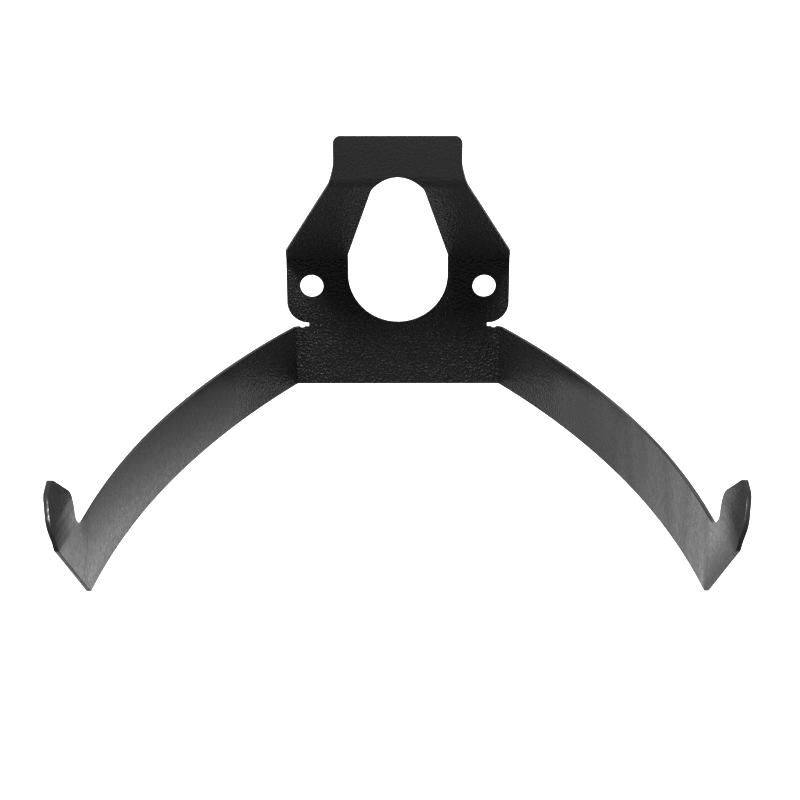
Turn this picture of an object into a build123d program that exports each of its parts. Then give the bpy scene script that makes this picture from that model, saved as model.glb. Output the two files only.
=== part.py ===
"""Wall rack for one bicycle, cut and bent from a single sheet of steel.

A plate is screwed to the wall through two holes.  A tongue rises from the plate, leans
away from the wall and ends in an upright flange.  The lower band of the plate is folded
forward at both ends into two curved arms, and each arm ends in a finger that keeps the
bicycle's tube in the notch behind it.

Frame, in millimetres: origin midway between the two screw holes on the wall face, +X to
the right as seen by someone who faces the wall, +Y into the wall, +Z up.
"""

import os
from math import acos, atan2, cos, degrees, hypot, radians, sin, tan

from build123d import *

# Sheet
SHEET = 2.0              # thickness of the steel with its coat
BEND_RADIUS = 2.0        # inside radius of the press-brake bends
KNEE_RADIUS = 7.0        # inside radius of the softer bend below the flange

# Plate against the wall; its heights count from the rack's bottom edge
PLATE_WIDTH = 129.0
HOLE_SPACING = 100.0
HOLE_DIAMETER = 13.5
HOLE_HEIGHT = 59.75
PLATE_CORNER = 12.5      # radius of the plate's lower corners
CREASE_HEIGHT = 76.6     # where plate and tongue meet, on the front face

# Tongue and flange
TONGUE_LEAN = 45.0       # degrees from upright, away from the wall
TONGUE_LENGTH = 79.6     # from crease to flange, on the front face
TAPER_START = 6.5        # distance above the crease where the sides begin to close in
TAPER_SLOPE = 0.38       # half width lost per unit of length
FLANGE_WIDTH = 69.0
FLANGE_HEIGHT = 25.8
FLANGE_CORNER = 4.0
LOWER_EASING = 8.0       # rounding between the plate's side and the tapered side
UPPER_EASING = 14.0      # rounding between the tapered side and the flange's side

# Pear-shaped opening
PEAR_RADIUS = 28.8       # round lower end, in the plate
PEAR_HEIGHT = 66.6
PEAR_TOP_RADIUS = 15.1   # round upper end, across the flange's bend
PEAR_TOP_DISTANCE = 68.1  # its centre, measured up the tongue from the crease
PEAR_SHOULDER = 3.4      # distance above the crease where the opening begins to narrow

# Lower band and arms
BAND_HEIGHT = 35.0
FOLD_X = 59.2            # where the band folds forward, on the front face
FOLD_ANGLE = 63.5        # degrees
ROLLS = ((770.0, 145.0), (662.0, 139.0))  # radius and length of each rolled stretch
RELIEF_X = 54.3          # inner end of the slot between band and plate
RELIEF_RADIUS = 1.7
RELIEF_WIDTH = 2.6

# Arm's end: distances run along the arm from the end of its roll, heights from the bottom
NOSE = 4.0               # the pointed lower corner
NOSE_CORNER = 2.0
CHAMFER_ANGLE = 41.5     # degrees, the rising underside
KINK_RADIUS = 3.0
FINGER_FRONT = 50.2
FINGER_SHOULDER = ((50.2, 50.8), (38.5, 60.6))
SHOULDER_RADII = (10.0, 12.0)
FINGER_END = ((27.5, 63.2), (13.9, 51.9))
FINGER_END_RADII = (4.0, 3.0)
NOTCH_CORNER = (20.3, 42.2)
NOTCH_CORNER_RADIUS = 3.0
NOTCH_START = 12.5
NOTCH_RADIUS = 20.0
FLARE_HEIGHT = 38.0      # where the finger begins to lean outward
FLARE_RADIUS = 28.0
FLARE_ANGLE = 20.0       # degrees

# Where one region of the sheet is told from the next
REGION_GAP = 0.5         # clear of a bend's tangent line
FLANGE_START = 5.0       # above the upper bend, clear of the opening's top

FRONT_FACE = -SHEET
FOOT = -HOLE_HEIGHT
CREASE = FOOT + CREASE_HEIGHT
BAND_TOP = FOOT + BAND_HEIGHT
FAR = 400.0              # longer than any part of the rack, for cutting shapes
OVERLAP = 0.5            # by which cutting shapes that continue each other overlap

lean = radians(TONGUE_LEAN)
knee_y = FRONT_FACE - TONGUE_LENGTH * sin(lean)
knee_z = CREASE + TONGUE_LENGTH * cos(lean)
tongue_plane = Plane(
    origin=(0, FRONT_FACE, CREASE), x_dir=(1, 0, 0), z_dir=(0, -cos(lean), -sin(lean))
)


def side_profile():
    """Plate, tongue and flange seen from the side, bends included."""
    shift = SHEET * tan(lean / 2)
    flange_top = knee_z + FLANGE_HEIGHT
    front = FilletPolyline(
        (FRONT_FACE, FOOT),
        (FRONT_FACE, CREASE),
        (knee_y, knee_z),
        (knee_y, flange_top),
        radius=[BEND_RADIUS, KNEE_RADIUS + SHEET],
    )
    back = FilletPolyline(
        (0, FOOT),
        (0, CREASE + shift),
        (knee_y + SHEET, knee_z + shift),
        (knee_y + SHEET, flange_top),
        radius=[BEND_RADIUS + SHEET, KNEE_RADIUS],
    )
    outline = front + Line(front @ 1, back @ 1) + back + Line(back @ 0, front @ 0)
    return Plane.YZ * make_face(outline)


def tongue_outline():
    """The outline that narrows the sheet from the plate's width to the flange's."""
    half_plate = PLATE_WIDTH / 2
    half_flange = FLANGE_WIDTH / 2
    taper_end = TAPER_START + (half_plate - half_flange) / TAPER_SLOPE
    side = FilletPolyline(
        (half_plate, -FAR),
        (half_plate, TAPER_START),
        (half_flange, taper_end),
        (half_flange, FAR),
        radius=[LOWER_EASING, UPPER_EASING],
    )
    other = mirror(side, about=Plane.YZ)
    outline = side + Line(side @ 1, other @ 1) + other + Line(other @ 0, side @ 0)
    return tongue_plane * make_face(outline)


def opening():
    """The pear: round in the plate, tapered in the tongue, round across the upper bend."""
    centre_z = FOOT + PEAR_HEIGHT
    round_end = Plane.XZ * Pos(0, centre_z) * Circle(PEAR_RADIUS)
    straight = Plane.XZ * Pos(0, centre_z) * Rectangle(
        2 * PEAR_RADIUS, CREASE - centre_z + 2 * OVERLAP, align=(Align.CENTER, Align.MIN)
    )
    lower = extrude(round_end + straight, amount=3 * SHEET, both=True)

    reach = hypot(PEAR_RADIUS, PEAR_TOP_DISTANCE - PEAR_SHOULDER)
    turn = atan2(PEAR_SHOULDER - PEAR_TOP_DISTANCE, PEAR_RADIUS) + acos(PEAR_TOP_RADIUS / reach)
    touch_x = PEAR_TOP_RADIUS * cos(turn)
    touch_u = PEAR_TOP_DISTANCE + PEAR_TOP_RADIUS * sin(turn)
    taper = Polyline(
        (-PEAR_RADIUS, -SHEET),
        (PEAR_RADIUS, -SHEET),
        (PEAR_RADIUS, PEAR_SHOULDER),
        (touch_x, touch_u),
        (-touch_x, touch_u),
        (-PEAR_RADIUS, PEAR_SHOULDER),
        close=True,
    )
    middle = extrude(tongue_plane * make_face(taper), amount=2 * SHEET, both=True)

    squash = cos(lean / 2)
    bend_plane = Plane(
        origin=(0, knee_y, knee_z), x_dir=(1, 0, 0), z_dir=(0, -cos(lean / 2), -sin(lean / 2))
    )
    centre = (PEAR_TOP_DISTANCE - TONGUE_LENGTH) * squash
    top_face = bend_plane * Pos(0, centre) * Ellipse(PEAR_TOP_RADIUS, PEAR_TOP_RADIUS * squash)
    upper = extrude(top_face, amount=4 * SHEET, both=True)
    return lower + middle + upper


def plate_corners():
    """What is cut away beside the band: below the plate's corners and the relief slots."""
    low = BAND_TOP + RELIEF_WIDTH
    centre = (PLATE_WIDTH / 2 - PLATE_CORNER, low + PLATE_CORNER)
    square = Pos(centre[0] + PLATE_CORNER, centre[1] - PLATE_CORNER) * Rectangle(
        2 * PLATE_CORNER, 2 * PLATE_CORNER
    )
    corner = square - Pos(*centre) * Circle(PLATE_CORNER)
    slot_start = RELIEF_X + RELIEF_RADIUS
    slot = Pos(slot_start, FOOT) * Rectangle(
        PLATE_CORNER * 2, BAND_HEIGHT + RELIEF_WIDTH, align=(Align.MIN, Align.MIN)
    )
    relief = Pos(slot_start, BAND_TOP + RELIEF_WIDTH - RELIEF_RADIUS) * Circle(RELIEF_RADIUS)
    shape = Plane.XZ * (corner + slot + relief)
    right = extrude(shape, amount=3 * SHEET, both=True)
    return right + mirror(right, about=Plane.YZ)


def relief_holes():
    """The round ends of the relief slots, which reach a little into the band."""
    spot = Pos(RELIEF_X + RELIEF_RADIUS, BAND_TOP + RELIEF_WIDTH - RELIEF_RADIUS)
    right = extrude(Plane.XZ * spot * Circle(RELIEF_RADIUS), amount=3 * SHEET, both=True)
    return right + mirror(right, about=Plane.YZ)


def screw_holes():
    """The two screw holes."""
    hole = Plane.XZ * Circle(HOLE_DIAMETER / 2)
    cutter = extrude(hole, amount=3 * SHEET, both=True)
    return Pos(HOLE_SPACING / 2, 0, 0) * cutter + Pos(-HOLE_SPACING / 2, 0, 0) * cutter


def arm_line(offset):
    """The right half of the band from above, offset outward from its front face."""
    tangent = BEND_RADIUS * tan(radians(FOLD_ANGLE) / 2)
    start = (0, FRONT_FACE + offset)
    fold_start = (FOLD_X - tangent, FRONT_FACE + offset)
    line = Line(start, fold_start)
    fold = JernArc(line @ 1, line % 1, BEND_RADIUS + offset, -FOLD_ANGLE)
    pieces = [line, fold]
    for radius, length in ROLLS:
        turn = degrees(length / radius)
        last = pieces[-1]
        pieces.append(JernArc(last @ 1, last % 1, radius + offset, -turn))
    return pieces


def band():
    """The right half of the lower band and the rolled arm, up to the arm's end."""
    front = arm_line(0)
    back = arm_line(SHEET)
    end_line = Line(front[-1] @ 1, back[-1] @ 1)
    start_line = Line(front[0] @ 0, back[0] @ 0)
    face = make_face(Curve() + front + back + [end_line, start_line])
    return Pos(0, 0, FOOT) * extrude(face, amount=BAND_HEIGHT, dir=(0, 0, 1))


def end_plane():
    """At the end of the roll: x along the arm, y outward through the sheet, z up."""
    last = arm_line(0)[-1]
    tip = last @ 1
    heading = last % 1
    return Plane(origin=(tip.X, tip.Y, FOOT), x_dir=(heading.X, heading.Y, 0), z_dir=(0, 0, 1))


def finger_side():
    """The arm's end from the side: nose, rising underside, finger and notch."""
    rise = tan(radians(CHAMFER_ANGLE))
    side = FilletPolyline(
        (0, 0),
        (NOSE, 0),
        (FINGER_FRONT, (FINGER_FRONT - NOSE) * rise),
        *FINGER_SHOULDER,
        *FINGER_END,
        NOTCH_CORNER,
        (NOTCH_START, BAND_HEIGHT),
        (0, BAND_HEIGHT),
        radius=[
            NOSE_CORNER,
            KINK_RADIUS,
            *SHOULDER_RADII,
            *FINGER_END_RADII,
            NOTCH_CORNER_RADIUS,
            NOTCH_RADIUS,
        ],
    )
    return make_face(side + Line(side @ 1, side @ 0))


def flare_profile():
    """The sheet across the arm's end, upright and then leaning outward."""
    faces = []
    for offset in (0, SHEET):
        upright = Line((offset, 0), (offset, FLARE_HEIGHT))
        curl = JernArc(upright @ 1, upright % 1, FLARE_RADIUS + SHEET - offset, -FLARE_ANGLE)
        slope = Line(curl @ 1, (curl @ 1) + (curl % 1) * BAND_HEIGHT)
        faces.append([upright, curl, slope])
    inner, outer = faces
    caps = [Line(inner[-1] @ 1, outer[-1] @ 1), Line(inner[0] @ 0, outer[0] @ 0)]
    return make_face(Curve() + inner + outer + caps)


def finger():
    """The arm's end in its own plane: the bent sheet, cut to its side outline."""
    sheet = extrude(Plane.YZ * flare_profile(), amount=FAR / 2)
    outline = Plane.XZ * finger_side()
    prism = extrude(outline, amount=FAR / 4, both=True)
    return sheet & prism


def upright_sheet():
    """Plate, tongue and flange with their outline, before the openings."""
    sheet = extrude(side_profile(), amount=PLATE_WIDTH, both=True)
    sheet = sheet & extrude(tongue_outline(), amount=FAR, both=True)
    sheet = sheet - plate_corners()
    top_edges = sheet.edges().filter_by(Axis.Y).group_by(Axis.Z)[-1]
    return fillet(top_edges, FLANGE_CORNER)


def half_space(plane):
    """Everything on the side of a plane that its x direction points to."""
    return plane * Box(FAR, 2 * FAR, 2 * FAR, align=(Align.MIN, Align.CENTER, Align.CENTER))


def beyond_fold():
    """The side of the fold where the right arm lies."""
    fold = arm_line(0)[1]
    heading = fold % 1
    start = (fold @ 1) + heading * REGION_GAP
    return half_space(Plane(origin=tuple(start), x_dir=tuple(heading), z_dir=(0, 0, 1)))


def regions():
    """The sheet as named regions, which meet face to face just beside the bends."""
    tangent = (BEND_RADIUS + SHEET) * tan(lean / 2) + REGION_GAP
    rise = tongue_plane.y_dir
    above_crease = half_space(
        Plane(origin=tuple(tongue_plane.origin + rise * tangent), x_dir=tuple(rise), z_dir=(1, 0, 0))
    )
    above_knee = half_space(
        Plane(origin=(0, 0, knee_z + FLANGE_START), x_dir=(0, 0, 1), z_dir=(1, 0, 0))
    )

    upright = upright_sheet() - opening()
    strip = band() + end_plane() * finger()
    band_end = strip - beyond_fold()
    arm_and_hook = strip & beyond_fold()
    past_roll = half_space(end_plane())
    right_arm = arm_and_hook - past_roll
    right_hook = arm_and_hook & past_roll
    plate = (upright - above_crease) + band_end + mirror(band_end, about=Plane.YZ)
    return {
        "wall_plate": plate - relief_holes() - screw_holes(),
        "tongue": (upright & above_crease) - above_knee,
        "flange": upright & above_knee,
        "right_arm": right_arm,
        "left_arm": mirror(right_arm, about=Plane.YZ),
        "right_hook": right_hook,
        "left_hook": mirror(right_hook, about=Plane.YZ),
    }


def main():
    os.makedirs("parts", exist_ok=True)
    for name, shape in regions().items():
        export_step(shape, f"parts/{name}.step")


main()
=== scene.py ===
"""Looks of the bicycle wall rack: one bent steel sheet with a textured black powder coat."""

import math

import bmesh
import bpy
from mathutils import Matrix, Vector


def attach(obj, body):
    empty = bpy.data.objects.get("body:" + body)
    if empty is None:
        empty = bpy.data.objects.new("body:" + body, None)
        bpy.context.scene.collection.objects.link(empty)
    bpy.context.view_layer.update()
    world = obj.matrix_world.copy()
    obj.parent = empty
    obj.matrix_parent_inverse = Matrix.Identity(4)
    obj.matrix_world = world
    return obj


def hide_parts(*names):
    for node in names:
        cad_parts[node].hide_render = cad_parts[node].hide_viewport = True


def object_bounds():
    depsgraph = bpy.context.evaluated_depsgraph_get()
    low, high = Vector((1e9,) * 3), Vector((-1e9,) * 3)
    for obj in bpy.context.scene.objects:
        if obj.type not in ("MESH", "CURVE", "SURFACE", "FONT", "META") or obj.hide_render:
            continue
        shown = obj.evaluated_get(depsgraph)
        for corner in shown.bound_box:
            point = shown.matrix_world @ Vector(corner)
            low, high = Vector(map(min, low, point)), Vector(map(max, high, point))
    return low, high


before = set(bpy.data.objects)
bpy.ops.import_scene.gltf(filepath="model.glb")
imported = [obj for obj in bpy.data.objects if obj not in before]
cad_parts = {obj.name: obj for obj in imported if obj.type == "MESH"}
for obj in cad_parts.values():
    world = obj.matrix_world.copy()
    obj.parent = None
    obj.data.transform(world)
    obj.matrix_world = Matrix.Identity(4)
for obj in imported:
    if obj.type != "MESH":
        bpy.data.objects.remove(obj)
cad_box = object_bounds()

MM = 0.001
foot = cad_box[0][2]
scene = bpy.context.scene
SHEET_NODES = (
    "wall_plate",
    "tongue",
    "flange",
    "left_arm",
    "right_arm",
    "left_hook",
    "right_hook",
)

# The camera's place is in metres, with its height counted from the foot.
CAMERA_SIDE = 1.131 * MM
CAMERA_BACK = -971.5 * MM
CAMERA_HEIGHT = 341.2 * MM
CAMERA_PITCH = math.radians(19.94)
CAMERA_ROLL = math.radians(-0.05)
CAMERA_LENS = 78.1
CAMERA_SENSOR = 36.0

# Corners within the weld distance become one, and faces within the flat angle are merged.
WELD_DISTANCE = 0.005 * MM
FLAT_ANGLE = math.radians(0.3)

# Only edges sharper than the cut edge angle are rounded.
EDGE_RADIUS = 0.28 * MM
EDGE_STEPS = 3
CUT_EDGE_ANGLE = math.radians(40.0)

# The fade is along Y, which is 0 on the wall and falls towards the camera.
# The texture scales are about how many features there are to a metre.
COAT_COLOR = (0.018, 0.018, 0.0185, 1)
COAT_SPECULAR = 0.1
COAT_ROUGHNESS = (0.25, 0.32)
ROUGHNESS_NOISE = (0.35, 0.65)
RELIEF_DEPTH = 1.6 * MM
RELIEF_FADE = (-80 * MM, -3 * MM)
RELIEF_STRENGTH = (0.05, 1.0)
PATCH_SCALE = 380.0
GRAIN_SCALE = 820.0
SPECK_SCALE = 800.0

WHITE = (1, 1, 1, 1)
FLOOR_COLOR = (0.15, 0.15, 0.15, 1)
FLOOR_GLOW = 1.35
FLOOR_REACH = 12.0
SURROUND_FADE = (-0.6, -0.05)
SURROUND_STRENGTH = (0.03, 1.15)

KEY_PLACE = (-0.12, -0.62, 1.15)
KEY_TARGET = (0, -0.03, 0)
KEY_SIZE = (0.28, 0.2)
KEY_POWER = 80
VIEW_GAMMA = 0.7


# Camera -------------------------------------------------------------------------------

def add_camera():
    """In front of the rack and a little above it, looking down on it."""
    data = bpy.data.cameras.new("camera")
    data.lens = CAMERA_LENS
    data.sensor_width = CAMERA_SENSOR
    camera = bpy.data.objects.new("camera", data)
    scene.collection.objects.link(camera)
    place = Matrix.Translation((CAMERA_SIDE, CAMERA_BACK, foot + CAMERA_HEIGHT))
    tilt = Matrix.Rotation(math.radians(90.0) - CAMERA_PITCH, 4, "X")
    spin = Matrix.Rotation(CAMERA_ROLL, 4, "Z")
    camera.matrix_world = place @ tilt @ spin
    scene.camera = camera


# The sheet ----------------------------------------------------------------------------

def joined_sheet():
    """The seven CAD regions as one continuous sheet, without the faces where they meet."""
    bm = bmesh.new()
    region = bm.faces.layers.int.new("region")
    for number, name in enumerate(SHEET_NODES, start=1):
        first = len(bm.faces)
        bm.from_mesh(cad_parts[name].data)
        bm.faces.ensure_lookup_table()
        for face in bm.faces[first:]:
            face[region] = number
    bmesh.ops.remove_doubles(bm, verts=bm.verts, dist=WELD_DISTANCE)
    shared = {
        vertex for vertex in bm.verts if len({face[region] for face in vertex.link_faces}) > 1
    }
    seams = [face for face in bm.faces if all(vertex in shared for vertex in face.verts)]
    bmesh.ops.delete(bm, geom=seams, context="FACES_ONLY")
    strays = [edge for edge in bm.edges if not edge.link_faces]
    bmesh.ops.delete(bm, geom=strays, context="EDGES")
    bmesh.ops.dissolve_limit(bm, angle_limit=FLAT_ANGLE, verts=bm.verts, edges=bm.edges)
    bmesh.ops.recalc_face_normals(bm, faces=bm.faces)
    mesh = bpy.data.meshes.new("rack_sheet")
    bm.to_mesh(mesh)
    bm.free()
    return mesh


def add_sheet(coat):
    """The rack itself, with its cut edges rounded by the coat. It replaces all CAD regions."""
    mesh = joined_sheet()
    for polygon in mesh.polygons:
        polygon.use_smooth = True
    mesh.materials.append(coat)
    sheet = bpy.data.objects.new("rack_sheet", mesh)
    scene.collection.objects.link(sheet)
    rounding = sheet.modifiers.new("edge_rounding", "BEVEL")
    rounding.width = EDGE_RADIUS
    rounding.segments = EDGE_STEPS
    rounding.limit_method = "ANGLE"
    rounding.angle_limit = CUT_EDGE_ANGLE
    rounding.use_clamp_overlap = True
    rounding.harden_normals = True
    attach(sheet, "root")
    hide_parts(*SHEET_NODES)


# Materials ----------------------------------------------------------------------------

def map_range(nodes, given, result):
    """A node that turns one range of values into another, and stops at its ends."""
    node = nodes.new("ShaderNodeMapRange")
    sockets = ("From Min", "From Max", "To Min", "To Max")
    for socket, value in zip(sockets, given + result):
        node.inputs[socket].default_value = value
    return node


def noise(nodes, scale, detail):
    """A noise texture."""
    node = nodes.new("ShaderNodeTexNoise")
    node.inputs["Scale"].default_value = scale
    node.inputs["Detail"].default_value = detail
    return node


def powder_coat():
    """Satin black powder coat: very dark, with the leathery skin that the powder leaves.

    The relief is full at the wall and fades with the distance forward of it, to almost
    nothing further out along the arms.
    """
    material = bpy.data.materials.new("black_powder_coat")
    material.use_nodes = True
    nodes = material.node_tree.nodes
    links = material.node_tree.links
    shader = nodes["Principled BSDF"]
    shader.inputs["Base Color"].default_value = COAT_COLOR
    shader.inputs["Specular IOR Level"].default_value = COAT_SPECULAR

    place = nodes.new("ShaderNodeTexCoord")
    patches = noise(nodes, scale=PATCH_SCALE, detail=2.0)
    grain = noise(nodes, scale=GRAIN_SCALE, detail=2.5)
    grain.inputs["Roughness"].default_value = 0.55
    speck = nodes.new("ShaderNodeTexVoronoi")
    speck.feature = "SMOOTH_F1"
    speck.inputs["Scale"].default_value = SPECK_SCALE
    speck.inputs["Smoothness"].default_value = 0.6
    for texture in (patches, grain, speck):
        links.new(place.outputs["Object"], texture.inputs["Vector"])

    height = nodes.new("ShaderNodeMath")
    height.operation = "ADD"
    links.new(grain.outputs["Fac"], height.inputs[0])
    links.new(speck.outputs["Distance"], height.inputs[1])

    split = nodes.new("ShaderNodeSeparateXYZ")
    relief = map_range(nodes, RELIEF_FADE, RELIEF_STRENGTH)
    bump = nodes.new("ShaderNodeBump")
    bump.inputs["Distance"].default_value = RELIEF_DEPTH
    links.new(place.outputs["Object"], split.inputs["Vector"])
    links.new(split.outputs["Y"], relief.inputs["Value"])
    links.new(relief.outputs["Result"], bump.inputs["Strength"])
    links.new(height.outputs["Value"], bump.inputs["Height"])
    links.new(bump.outputs["Normal"], shader.inputs["Normal"])

    gloss = map_range(nodes, ROUGHNESS_NOISE, COAT_ROUGHNESS)
    links.new(patches.outputs["Fac"], gloss.inputs["Value"])
    links.new(gloss.outputs["Result"], shader.inputs["Roughness"])
    return material


def plain_white():
    """A matt white that gives off light, so that the floor shows no shading of its own."""
    material = bpy.data.materials.new("floor_white")
    material.use_nodes = True
    shader = material.node_tree.nodes["Principled BSDF"]
    shader.inputs["Base Color"].default_value = FLOOR_COLOR
    shader.inputs["Roughness"].default_value = 1.0
    shader.inputs["Specular IOR Level"].default_value = 0.0
    shader.inputs["Emission Color"].default_value = WHITE
    shader.inputs["Emission Strength"].default_value = FLOOR_GLOW
    return material


# Stage --------------------------------------------------------------------------------

def add_floor():
    """A plain white floor, wide enough to fill the view."""
    mesh = bpy.data.meshes.new("floor")
    bm = bmesh.new()
    bmesh.ops.create_grid(bm, x_segments=1, y_segments=1, size=FLOOR_REACH)
    bm.to_mesh(mesh)
    bm.free()
    floor = bpy.data.objects.new("floor", mesh)
    floor.location = (0, 0, foot)
    scene.collection.objects.link(floor)
    mesh.materials.append(plain_white())


def add_key_light():
    """One rectangular light, high in front of the rack and a little to its left."""
    data = bpy.data.lights.new("key", "AREA")
    data.shape = "RECTANGLE"
    data.size, data.size_y = KEY_SIZE
    data.energy = KEY_POWER
    light = bpy.data.objects.new("key", data)
    scene.collection.objects.link(light)
    light.location = KEY_PLACE
    aim = Vector(KEY_TARGET) - Vector(KEY_PLACE)
    light.rotation_euler = aim.to_track_quat("-Z", "Y").to_euler()


def add_surroundings():
    """White behind and beside the rack, dim on the camera's side."""
    world = bpy.data.worlds.new("studio")
    scene.world = world
    world.use_nodes = True
    nodes = world.node_tree.nodes
    links = world.node_tree.links
    background = nodes["Background"]
    background.inputs["Color"].default_value = WHITE
    direction = nodes.new("ShaderNodeTexCoord")
    split = nodes.new("ShaderNodeSeparateXYZ")
    fade = map_range(nodes, SURROUND_FADE, SURROUND_STRENGTH)
    links.new(direction.outputs["Generated"], split.inputs["Vector"])
    links.new(split.outputs["Y"], fade.inputs["Value"])
    links.new(fade.outputs["Result"], background.inputs["Strength"])


def set_view():
    """The plain view transform, with a gamma that deepens the blacks."""
    scene.view_settings.view_transform = "Standard"
    scene.view_settings.gamma = VIEW_GAMMA


add_camera()
add_floor()
add_surroundings()
add_key_light()
set_view()
add_sheet(powder_coat())
